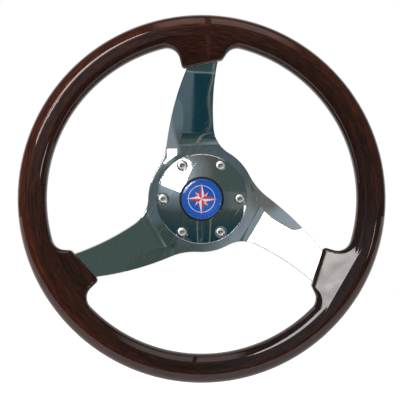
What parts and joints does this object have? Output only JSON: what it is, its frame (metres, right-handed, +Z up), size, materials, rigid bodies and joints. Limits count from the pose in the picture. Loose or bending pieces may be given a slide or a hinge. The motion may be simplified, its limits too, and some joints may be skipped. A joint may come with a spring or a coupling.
{
  "type": "boat steering wheel",
  "caption": "Dished boat steering wheel: mahogany rim with wings over skewed polished stainless spokes, domed trim ring, keyed taper boss and push-in badge cap.",
  "frame": {"origin": "centre of the boss's rear face, at the large end of the shaft taper", "axes": "+Y along the shaft, away from the driver; the wheel's front faces -Y; one spoke points up along +Z; +X is to the driver's right"},
  "size_m": [0.35, 0.091, 0.35],
  "materials": {
    "polished_stainless": "mirror polished, with faint polishing lines",
    "plain_steel": "as rolled",
    "mahogany": "dark stained, under glossy clear lacquer",
    "screw_stainless": "turned and polished",
    "boss_alloy": "turned and satin anodised",
    "cap_plastic": "moulded, semi-gloss black",
    "cap_rubber": "matt",
    "label_print": "printed blue film",
    "clear_resin": "clear and glossy"
  },
  "bodies": {
    "wheel": {"spider": "polished_stainless", "rim_core_ring": "plain_steel", "rim_front_half": "mahogany", "rim_back_half": "mahogany", "hub_ring": "polished_stainless", "ring_screws": "screw_stainless", "hub_boss": "boss_alloy"},
    "cap": {"centre_cap": "cap_plastic", "cap_o_ring": "cap_rubber", "badge_label": "label_print", "badge_dome": "clear_resin"}
  },
  "joints": [
    {"name": "cap_pull", "type": "slide", "parent": "wheel", "child": "cap", "axis": [0, -1, 0], "range_m": [0, 0.02]}
  ]
}
